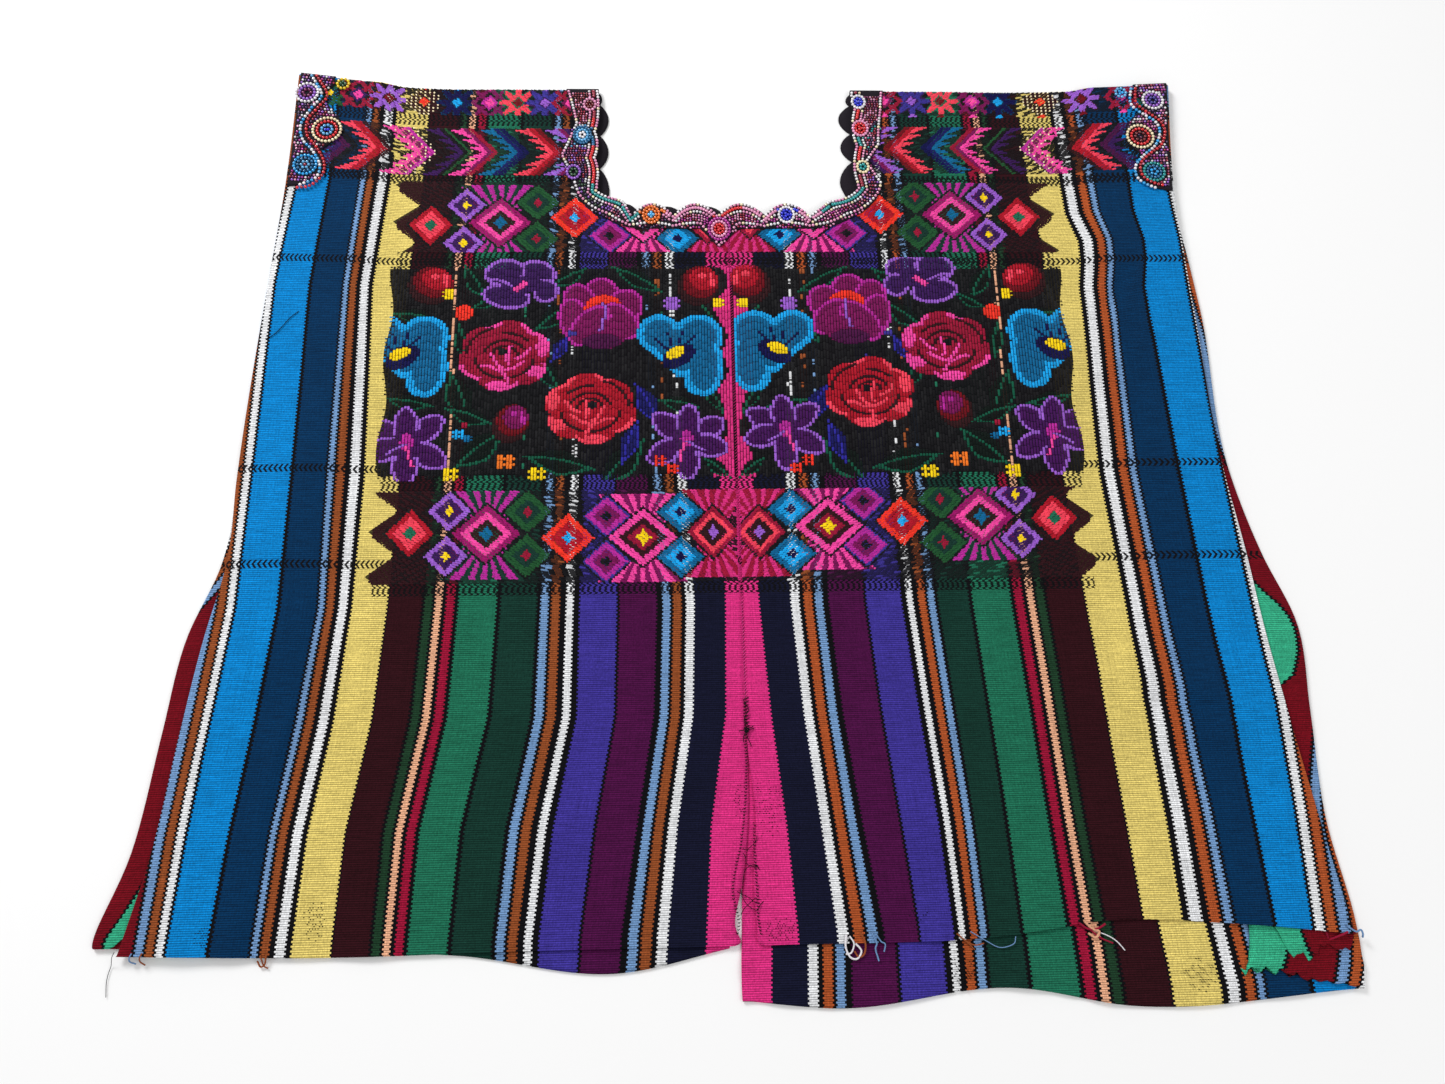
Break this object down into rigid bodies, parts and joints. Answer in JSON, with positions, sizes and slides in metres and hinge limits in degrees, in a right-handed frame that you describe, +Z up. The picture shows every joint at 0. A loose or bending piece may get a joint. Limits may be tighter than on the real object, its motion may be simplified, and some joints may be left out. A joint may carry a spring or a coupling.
{
  "type": "huipil blouse",
  "caption": "Woven huipil blouse laid flat, front up: folded loom panels, open neck notch with scalloped beaded trim, beaded armholes and turned-in sides.",
  "frame": {"origin": "on the surface that the blouse lies on, under the middle of its bounding box", "axes": "+Z up from the surface out of the blouse's front, +Y from the hem to the shoulders, +X to the right as the front is looked at"},
  "size_m": [0.8848, 0.778, 0.0086],
  "materials": {
    "woven_left": "weft-faced striped cotton with floral brocade",
    "woven_right": "weft-faced striped cotton with floral brocade",
    "neck_felt": "black felt under glass seed beads",
    "armhole_felt": "black cloth under glass seed beads"
  },
  "bodies": {
    "root": {"panel_left": "woven_left", "panel_right": "woven_right", "neck_trim": "neck_felt", "armhole_trim_left": "armhole_felt", "armhole_trim_right": "armhole_felt"}
  },
  "joints": []
}
